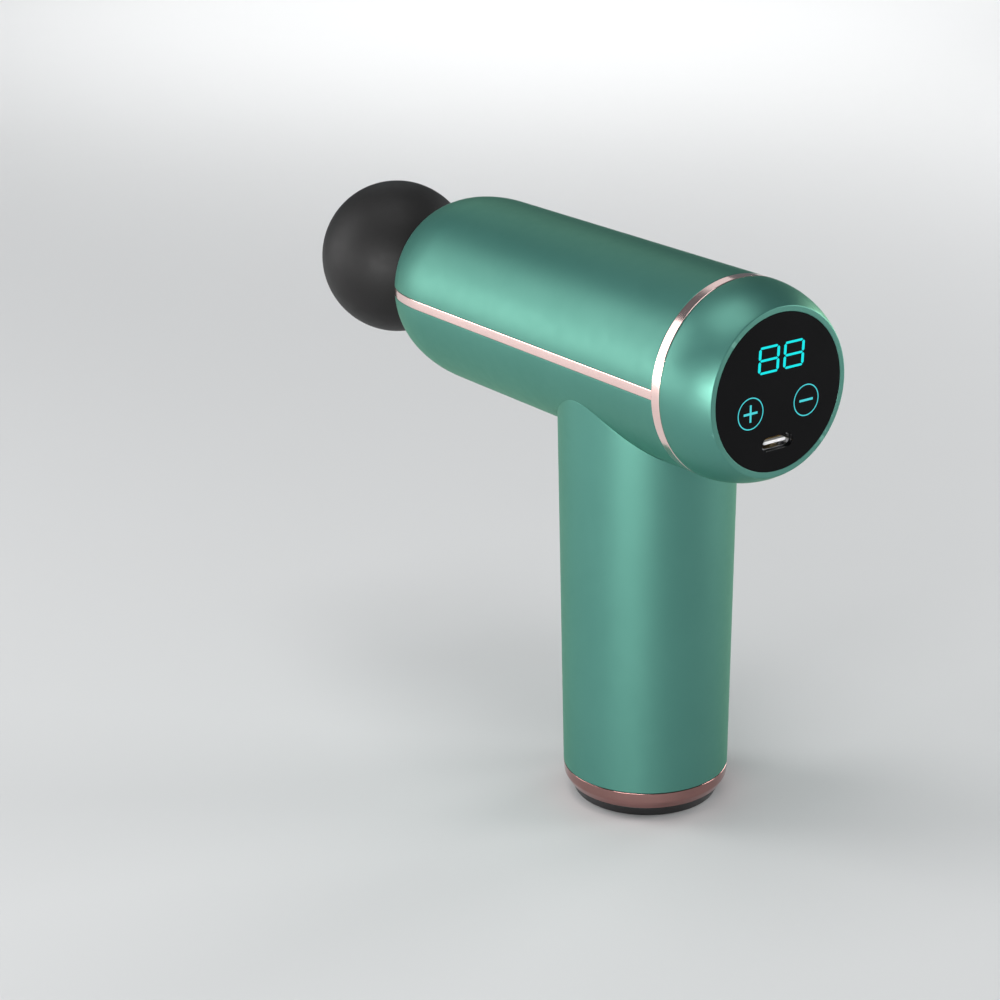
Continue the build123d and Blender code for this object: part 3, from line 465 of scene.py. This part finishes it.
def rounded_corner(before, corner, after, r, steps=6):
    """Arc points at one corner of an outline."""
    points = rounded([before, (*corner, r), after], steps)
    return points[1:-1]


def ring_piece():
    """Flush metal ring between the barrel and the rear cap."""
    inner = BARREL_R - WALL
    low, high = CAP_Y + 0.5 * SEAM, RING_Y - 0.5 * SEAM
    corners = [(low, inner), (low, BARREL_R, ROUND), (high, BARREL_R, ROUND), (high, inner)]
    return turned_piece("rear_ring", rounded(corners))


def base_ring_piece():
    """Metal ring round the foot: upright wall that turns in towards its lower edge."""
    top = HANDLE_Z - SEAM
    inner = SPIGOT_R + SEAM
    bend_z = mix(BASE_RING_Z, top, 0.42)
    corners = [
        (top, inner), (top, HANDLE_LOW_R, ROUND), (bend_z, HANDLE_LOW_R - 0.18 * MM, 1.6 * MM),
        (BASE_RING_Z, BASE_RING_LOW_R, ROUND), (BASE_RING_Z, inner),
    ]
    return turned_piece("base_ring", rounded(corners, 8), "Z")


def base_plug_piece():
    """Black foot under the metal ring, with its spigot in the handle."""
    edge = BASE_RING_LOW_R - 0.25 * MM
    inner = SPIGOT_R - SPIGOT_WALL
    rim_z, seat_z, floor_z = 0.5 * MM, 1.5 * MM, 3.5 * MM
    corners = [
        (rim_z, FOOT_R + SEAM), (rim_z, 17.9 * MM, 0.45 * MM), (BASE_RING_Z - SEAM, edge, ROUND),
        (BASE_RING_Z - SEAM, SPIGOT_R), (PLUG_TOP_Z, SPIGOT_R, 0.3 * MM), (PLUG_TOP_Z, inner),
        (floor_z, inner), (floor_z, 0.0), (seat_z, 0.0), (seat_z, FOOT_R + SEAM),
    ]
    return turned_piece("foot_cap", rounded(corners, 6), "Z")


def foot_pad_piece():
    """Rubber disc with three tread grooves underneath."""
    outline = [(0.0, 0.0)]
    depth, floor, mouth = 0.35 * MM, 0.25 * MM, 0.4 * MM
    for r in (5.5 * MM, 9.5 * MM, 13.5 * MM):
        outline += [(0.0, r - mouth), (depth, r - floor), (depth, r + floor), (0.0, r + mouth)]
    outline += rounded_corner((0.0, 15 * MM), (0.0, FOOT_R), (FOOT_T, FOOT_R), 0.4 * MM)
    outline += [(FOOT_T, FOOT_R), (FOOT_T, 0.0)]
    return turned_piece("foot_disc", outline, "Z")


def nose_seal_piece():
    """Rubber ring in the mouth: thin flange over the face and a ribbed bore."""
    front = FACE_Y + 0.2 * MM
    inner = SEAL_INNER_R
    rib = inner + 0.35 * MM
    corners = [
        (SEAL_Y, NOSE_HOLE_R, 0.2 * MM), (FACE_Y - FLANGE_T, NOSE_HOLE_R), (FACE_Y - FLANGE_T, FLANGE_R),
        (front, FLANGE_R, 0.3 * MM), (front, inner, 0.5 * MM),
        (81.4 * MM, inner), (81.2 * MM, rib), (80.9 * MM, rib), (80.7 * MM, inner),
        (SEAL_Y, inner, 0.2 * MM),
    ]
    return turned_piece("nose_ring", rounded(corners))


# --- ball head ----------------------------------------------------------------------------------

def ball_piece():
    """Soft ball: skin with a rolled lip round the collar, hollow inside."""
    neck = math.degrees(math.asin((COLLAR_R + 0.5 * MM) / BALL_R))
    outer = arc((BALL_Y, 0.0), (BALL_R, BALL_R), 180 - neck, 0, 120)
    inner_r = BALL_R - SKIN_T
    inner_end = 180 - math.degrees(math.acos((BALL_Y - ROOT_Y) / inner_r))
    inner = arc((BALL_Y, 0.0), (inner_r, inner_r), 0, inner_end, 60)
    lip_y = BALL_Y - math.sqrt(BALL_R ** 2 - COLLAR_R ** 2)
    lip = [(lip_y + 0.75 * MM, COLLAR_R + 0.01 * MM), (lip_y + 0.3 * MM, COLLAR_R + 0.08 * MM),
           (lip_y + 0.1 * MM, COLLAR_R + 0.25 * MM)]
    root = [(ROOT_Y, SPOOL_R), (SPOOL_Y, SPOOL_R), (SPOOL_Y, COLLAR_R + 0.01 * MM)]
    outer[-1] = (outer[-1][0], 0.0)
    inner[0] = (inner[0][0], 0.0)
    return turned_piece("soft_ball", lip + outer + inner + root)


def stem_piece():
    """Moulded stem: shank, collar and the spool inside the ball."""
    collar_y = PISTON_FRONT_Y + 0.1 * MM
    anchor_y = BALL_Y - 4 * MM
    bore_y = BALL_Y - 8 * MM
    corners = [
        (STEM_END_Y, STEM_BORE_R), (STEM_END_Y, SHANK_R - 1.2 * MM, 0.2 * MM),
        (STEM_END_Y + 1.6 * MM, SHANK_R, 0.3 * MM), (collar_y, SHANK_R), (collar_y, COLLAR_R, 0.6 * MM),
        (SPOOL_Y, COLLAR_R), (SPOOL_Y, SPOOL_R), (anchor_y, SPOOL_R), (anchor_y, ANCHOR_R, 0.3 * MM),
        (STEM_TIP_Y, ANCHOR_R, 0.3 * MM), (STEM_TIP_Y, 0.0), (bore_y, 0.0), (bore_y, STEM_BORE_R),
    ]
    return turned_piece("stem", rounded(corners))


# --- materials ----------------------------------------------------------------------------------

WEAR_FROM, WEAR_FULL = 0.53, 0.60    # pointiness at which wear starts and is full
WEAR_MOST = 0.5                      # share of the wear colour on the sharpest edges


def linear(r, g, b):
    """Scene colour from 0 to 255 display values."""
    return tuple((c / 255) ** 2.2 for c in (r, g, b)) + (1.0,)


def material(name, low, high, rough, metal=0.0, patch=60.0, grain=4000.0, bump=0.02, bump_mm=0.02,
             wear=None, coat=0.0, coat_rough=0.1, specular=0.5, ior=1.5, tint=(1, 1, 1, 1),
             emission=None, stretch=(1, 1, 1)):
    """Procedural finish: colour drifts between low and high in patches, roughness follows a
    finer noise over the range rough, a fine grain gives the bump, and wear lightens edges."""
    made = bpy.data.materials.new(name)
    made.use_nodes = True
    made.diffuse_color = low
    tree = made.node_tree
    nodes, links = tree.nodes, tree.links
    shader = nodes["Principled BSDF"]
    place = nodes.new("ShaderNodeTexCoord")
    scaled = nodes.new("ShaderNodeMapping")
    scaled.inputs["Scale"].default_value = stretch
    links.new(place.outputs["Object"], scaled.inputs["Vector"])

    def noise(scale, detail):
        field = nodes.new("ShaderNodeTexNoise")
        field.inputs["Scale"].default_value = scale
        field.inputs["Detail"].default_value = detail
        links.new(scaled.outputs["Vector"], field.inputs["Vector"])
        return field.outputs["Fac"]

    drift = nodes.new("ShaderNodeValToRGB")
    drift.color_ramp.elements[0].position = 0.35
    drift.color_ramp.elements[0].color = low
    drift.color_ramp.elements[1].position = 0.65
    drift.color_ramp.elements[1].color = high
    links.new(noise(patch, 3.0), drift.inputs["Fac"])
    colour = drift.outputs["Color"]
    if wear:
        geometry = nodes.new("ShaderNodeNewGeometry")
        edge = nodes.new("ShaderNodeMapRange")
        edge.inputs["From Min"].default_value = WEAR_FROM
        edge.inputs["From Max"].default_value = WEAR_FULL
        edge.inputs["To Max"].default_value = WEAR_MOST
        links.new(geometry.outputs["Pointiness"], edge.inputs["Value"])
        worn = nodes.new("ShaderNodeMix")
        worn.data_type = "RGBA"
        worn.inputs["B"].default_value = wear
        links.new(edge.outputs["Result"], worn.inputs["Factor"])
        links.new(colour, worn.inputs["A"])
        colour = worn.outputs["Result"]
    links.new(colour, shader.inputs["Base Color"])
    spread = nodes.new("ShaderNodeMapRange")
    spread.inputs["From Min"].default_value = 0.3
    spread.inputs["From Max"].default_value = 0.7
    spread.inputs["To Min"].default_value = rough[0]
    spread.inputs["To Max"].default_value = rough[1]
    links.new(noise(patch * 7, 4.0), spread.inputs["Value"])
    links.new(spread.outputs["Result"], shader.inputs["Roughness"])
    relief = nodes.new("ShaderNodeBump")
    relief.inputs["Strength"].default_value = bump
    relief.inputs["Distance"].default_value = bump_mm * MM
    links.new(noise(grain, 2.0), relief.inputs["Height"])
    links.new(relief.outputs["Normal"], shader.inputs["Normal"])
    shader.inputs["Metallic"].default_value = metal
    shader.inputs["Coat Weight"].default_value = coat
    shader.inputs["Coat Roughness"].default_value = coat_rough
    shader.inputs["Specular IOR Level"].default_value = specular
    shader.inputs["Specular Tint"].default_value = tint
    shader.inputs["IOR"].default_value = ior
    if emission:
        shader.inputs["Emission Color"].default_value = emission[0]
        shader.inputs["Emission Strength"].default_value = emission[1]
    return made


def make_materials():
    """One finish for each material slot of the record, and a darker copy of the trim for the ring at the
    foot, whose painted shade stands in for dark reflections round the foot.
    """
    m = {}
    m["body_shell"] = material(
        "satin_teal", (0.045, 0.168, 0.153, 1), (0.049, 0.176, 0.160, 1), (0.41, 0.46), metal=0.60,
        patch=45, grain=5200, bump=0.10, bump_mm=0.012, wear=(0.16, 0.38, 0.33, 1), specular=1.0, ior=1.8,
        tint=(0.6, 1.0, 0.6, 1))
    m["trim"] = material(
        "rose_gold", linear(250, 216, 210), linear(253, 220, 214), (0.13, 0.18), metal=1.0,
        patch=90, grain=2600, bump=0.03, bump_mm=0.004, wear=linear(255, 236, 230))
    # Darker copy of the rose gold for the ring at the foot: painted shade, standing in for the dark
    # reflections round the foot.
    m["base_trim"] = material(
        "rose_gold_painted_shade", linear(158, 118, 114), linear(168, 126, 122), (0.12, 0.17), metal=1.0,
        patch=90, grain=2600, bump=0.03, bump_mm=0.004, wear=linear(215, 178, 172))
    m["black_rubber"] = material(
        "black_rubber", linear(26, 26, 27), linear(34, 34, 35), (0.62, 0.75),
        patch=120, grain=3500, bump=0.25, bump_mm=0.02)
    m["black_plastic"] = material(
        "black_plastic", linear(16, 16, 17), linear(21, 21, 22), (0.34, 0.44),
        patch=120, grain=4200, bump=0.15, bump_mm=0.012, wear=linear(60, 60, 62))
    m["ball_rubber"] = material(
        "ball_silicone", linear(28, 27, 27), linear(32, 31, 31), (0.52, 0.58),
        patch=50, grain=4300, bump=0.22, bump_mm=0.014, specular=0.26)
    m["head_plastic"] = material(
        "head_plastic", linear(34, 34, 36), linear(39, 39, 41), (0.42, 0.50),
        patch=110, grain=4300, bump=0.15, bump_mm=0.012, wear=linear(70, 70, 72))
    m["panel_lens"] = material(
        "smoked_lens", linear(13, 13, 14), linear(16, 16, 17), (0.10, 0.14),
        patch=70, grain=900, bump=0.01, bump_mm=0.004, specular=0.09)
    m["display_light"] = material(
        "lit_digits", linear(0, 70, 72), linear(0, 80, 82), (0.35, 0.45),
        patch=900, grain=6000, bump=0.05, specular=0.1, emission=(linear(0, 226, 228), 1.0))
    m["icon_light"] = material(
        "lit_icons", linear(20, 64, 68), linear(26, 74, 78), (0.35, 0.45),
        patch=900, grain=6000, bump=0.05, specular=0.1, emission=(linear(72, 202, 208), 1.0))
    m["screw_steel"] = material(
        "zinc_steel", linear(150, 150, 156), linear(168, 168, 172), (0.25, 0.4), metal=1.0, patch=400,
        grain=3000, bump=0.08, wear=linear(215, 215, 218))
    m["bearing_steel"] = material(
        "ground_steel", linear(190, 190, 194), linear(206, 206, 208), (0.12, 0.2), metal=1.0, patch=300,
        grain=2500, bump=0.04, stretch=(1, 1, 8))
    m["bearing_cage"] = material(
        "cage_brass", linear(196, 160, 96), linear(210, 174, 108), (0.25, 0.35), metal=1.0, patch=400)
    m["board_green"] = material(
        "solder_mask", linear(12, 84, 52), linear(16, 96, 60), (0.28, 0.4), patch=350, grain=1800,
        bump=0.12, coat=0.5, coat_rough=0.2)
    m["chip_black"] = material(
        "moulded_black", linear(24, 24, 26), linear(32, 32, 34), (0.5, 0.62), patch=300,
        grain=3800, bump=0.2)
    m["foam"] = material(
        "conductive_foam", linear(44, 44, 46), linear(58, 58, 60), (0.85, 0.95), patch=900, grain=2200,
        bump=0.6, bump_mm=0.08)
    m["brass"] = material(
        "turned_brass", linear(204, 168, 98), linear(216, 182, 112), (0.2, 0.3), metal=1.0, patch=300)
    m["port_steel"] = material(
        "port_steel", linear(205, 205, 208), linear(222, 222, 224), (0.16, 0.24), metal=1.0, patch=500,
        grain=3000, bump=0.04, wear=linear(245, 245, 245))
    m["port_tongue"] = material(
        "port_tongue", linear(226, 226, 226), linear(238, 238, 238), (0.35, 0.45), patch=500)
    m["contact_gold"] = material(
        "contact_gold", linear(232, 196, 116), linear(240, 206, 128), (0.15, 0.22), metal=1.0, patch=900)
    m["wire_insulation"] = material(
        "red_insulation", linear(160, 24, 20), linear(176, 30, 26), (0.4, 0.5), patch=300, grain=2500,
        bump=0.1)
    m["phase_insulation"] = material(
        "yellow_insulation", linear(206, 168, 40), linear(218, 180, 52), (0.4, 0.5), patch=300, grain=2500,
        bump=0.1)
    m["chassis_plastic"] = material(
        "glass_filled_nylon", linear(40, 41, 43), linear(52, 53, 55), (0.55, 0.68), patch=250, grain=2600,
        bump=0.35, bump_mm=0.03, stretch=(1, 3, 1))
    m["acetal"] = material(
        "acetal", linear(226, 224, 214), linear(234, 232, 224), (0.35, 0.45), patch=150, grain=2600,
        bump=0.06)
    m["motor_aluminium"] = material(
        "cast_aluminium", linear(176, 177, 180), linear(190, 191, 193), (0.32, 0.45), metal=1.0, patch=250,
        grain=2200, bump=0.15, wear=linear(225, 225, 227))
    m["lamination"] = material(
        "lamination", linear(110, 112, 116), linear(132, 134, 138), (0.35, 0.5), metal=1.0, patch=200,
        grain=900, bump=0.5, bump_mm=0.03, stretch=(0.1, 0.1, 6))
    m["winding_copper"] = material(
        "enamelled_copper", linear(184, 98, 54), linear(204, 116, 66), (0.2, 0.32), metal=1.0, patch=350,
        grain=1100, bump=0.9, bump_mm=0.12, coat=0.6, stretch=(0.2, 0.2, 3))
    m["magnet"] = material(
        "nickel_magnet", linear(150, 150, 150), linear(166, 165, 163), (0.2, 0.3), metal=1.0, patch=300)
    m["bell_steel"] = material(
        "blued_steel", linear(66, 68, 74), linear(80, 82, 88), (0.28, 0.38), metal=1.0, patch=200,
        grain=2400, bump=0.08, wear=linear(130, 132, 138), stretch=(1, 1, 6))
    m["crank_steel"] = material(
        "machined_steel", linear(138, 139, 143), linear(156, 157, 160), (0.24, 0.36), metal=1.0, patch=200,
        grain=2000, bump=0.12, wear=linear(205, 205, 208))
    m["rod_aluminium"] = material(
        "forged_aluminium", linear(182, 183, 186), linear(196, 197, 199), (0.3, 0.42), metal=1.0, patch=220,
        grain=2400, bump=0.15, wear=linear(228, 228, 230))
    m["bush_bronze"] = material(
        "sintered_bronze", linear(168, 124, 74), linear(186, 142, 88), (0.4, 0.55), metal=1.0, patch=500,
        grain=3600, bump=0.4, bump_mm=0.03)
    m["piston_plastic"] = material(
        "piston_plastic", linear(22, 22, 24), linear(30, 30, 32), (0.3, 0.42), patch=180, grain=3200,
        bump=0.1, wear=linear(80, 80, 84), stretch=(1, 0.15, 1))
    m["cell"] = material(
        "cell_sleeve", linear(38, 92, 150), linear(46, 102, 162), (0.25, 0.35), patch=150, grain=1600,
        bump=0.05, coat=0.4)
    m["nickel"] = material(
        "nickel_strip", linear(196, 194, 186), linear(210, 208, 200), (0.25, 0.35), metal=1.0, patch=300)
    return m


def paint(piece, finish):
    """Gives the piece this finish alone."""
    piece.data.materials.clear()
    piece.data.materials.append(finish)


# --- camera, light and floor --------------------------------------------------------------------

# Camera fitted to the photo's view: metres, degrees and millimetres of lens.
CAMERA_AT = (-0.34985, -0.42892, 0.28323)
CAMERA_AZIMUTH = -35.460
CAMERA_ELEVATION = 20.350
CAMERA_ROLL = 0.818
CAMERA_LENS = 86.517
CAMERA_SENSOR = 36

LIT_POINT = Vector((0, 0.02, 0.085))
# Name, azimuth and elevation in degrees, width and height in metres, watts, and metres away if not 1.
SOFTBOXES = (
    ("key_left", 121, 4, 0.74, 0.26, 11.0),
    ("left_front", 70, 4, 0.36, 0.22, 1.4),
    ("nose_low", 42, 4, 0.46, 0.26, 2.1),
    ("nose_high", 42, 28, 0.42, 0.62, 2.8),
    ("right_edge", 276, 4, 0.42, 0.42, 4.0),
    ("panel_side", 235, 4, 0.36, 0.42, 4.9),
    ("top", 75, 82, 0.80, 0.80, 5.6, 1.2),
    ("ring_light", 333, 32, 0.42, 0.42, 0.35),
)
FLOOR_LIGHT_AT = (0.85, 1.15, 1.0)
FLOOR_LIGHT_CONE = 60     # degrees
FLOOR_GREY = 218
FLOOR_R = 6.0
SKY = (0.125, 0.14, 0.15, 1.0)


def make_camera():
    """Camera behind the massager, to its left and a little above."""
    data = bpy.data.cameras.new("camera")
    data.lens = CAMERA_LENS
    data.sensor_width = CAMERA_SENSOR
    data.clip_start, data.clip_end = 0.01, 50
    camera = bpy.data.objects.new("camera", data)
    bpy.context.scene.collection.objects.link(camera)
    a, e, roll = (math.radians(v) for v in (CAMERA_AZIMUTH, CAMERA_ELEVATION, CAMERA_ROLL))
    forward = Vector((-math.sin(a) * math.cos(e), math.cos(a) * math.cos(e), -math.sin(e)))
    right = forward.cross(Vector((0, 0, 1))).normalized()
    down = forward.cross(right)
    right, down = (math.cos(roll) * right + math.sin(roll) * down,
                   -math.sin(roll) * right + math.cos(roll) * down)
    turn = Matrix((right, -down, -forward)).transposed()
    camera.matrix_world = Matrix.Translation(CAMERA_AT) @ turn.to_4x4()
    bpy.context.scene.camera = camera


def softbox(name, azimuth, elevation, width, height, power, distance=1.0):
    """Area light aimed at the massager; azimuth from +Y towards -X. It never dips under the floor."""
    data = bpy.data.lights.new(name, "AREA")
    data.shape = "RECTANGLE"
    data.size, data.size_y = width, height
    data.energy = power
    lamp = bpy.data.objects.new(name, data)
    a, e = math.radians(azimuth), math.radians(elevation)
    away = Vector((-math.sin(a) * math.cos(e), math.cos(a) * math.cos(e), math.sin(e)))
    lamp.location = LIT_POINT + away * distance
    lamp.location.z = max(lamp.location.z, height / 2 + 0.01)
    lamp.rotation_euler = (LIT_POINT - lamp.location).to_track_quat("-Z", "Y").to_euler()
    bpy.context.scene.collection.objects.link(lamp)


def floor_light(name, place, size, power):
    """Area light that shines straight down on the floor, in a cone too narrow to reach the object."""
    data = bpy.data.lights.new(name, "AREA")
    data.shape = "DISK"
    data.size = size
    data.spread = math.radians(FLOOR_LIGHT_CONE)
    data.energy = power
    lamp = bpy.data.objects.new(name, data)
    lamp.location = place
    bpy.context.scene.collection.objects.link(lamp)


def make_stage():
    """Pale floor and a soft studio: low softboxes round the sides, one above, one for the floor."""
    bm = bmesh.new()
    bmesh.ops.create_circle(bm, cap_ends=True, radius=FLOOR_R, segments=96)
    floor = new_piece("floor", bm)
    grey = linear(FLOOR_GREY, FLOOR_GREY, FLOOR_GREY)
    paint(floor, material("floor_paper", grey, grey, (0.7, 0.8), patch=4, grain=900, bump=0.02,
                          specular=0.1))
    world = bpy.data.worlds.new("studio")
    world.use_nodes = True
    bpy.context.scene.world = world
    sky = world.node_tree.nodes["Background"]
    sky.inputs["Color"].default_value = SKY
    sky.inputs["Strength"].default_value = 1.0
    for light in SOFTBOXES:
        softbox(*light)
    floor_light("far_floor", FLOOR_LIGHT_AT, size=1.3, power=5.0)
    bpy.context.scene.view_settings.view_transform = "Standard"


# --- assembly -----------------------------------------------------------------------------------

make_camera()
make_stage()
finishes = make_materials()

slots = {s["node"]: s["material_slot"] for s in frame["record"]["subparts"]}
for node, shape in frame["nodes"].items():
    paint(shape, finishes[slots[node]])
    smooth(shape.data, CAD_ANGLE)


def stands_for(piece, node, body):
    """The piece takes over a CAD node: the finish of its slot, and its body."""
    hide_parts(node)
    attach(piece, body)
    paint(piece, finishes[slots[node]])


upper, lower, strips = barrel_pieces()
stands_for(upper, "barrel_upper_shell", "housing")
stands_for(lower, "barrel_lower_shell", "housing")
stands_for(strips[0], "side_trim_left", "housing")
stands_for(strips[1], "side_trim_right", "housing")
stands_for(handle_piece(), "handle_shell", "housing")
stands_for(rear_cap_piece(), "rear_cap", "housing")
stands_for(ring_piece(), "rear_trim_ring", "housing")
base_ring = base_ring_piece()
stands_for(base_ring, "base_trim_ring", "housing")
# Painted shade: the ring at the foot gets the darker copy of the rose gold.
paint(base_ring, finishes["base_trim"])
stands_for(base_plug_piece(), "base_plug", "housing")
stands_for(foot_pad_piece(), "foot_pad", "housing")
stands_for(nose_seal_piece(), "nose_seal", "housing")
stands_for(ball_piece(), "ball_cover", "head")
stands_for(stem_piece(), "head_stem", "head")
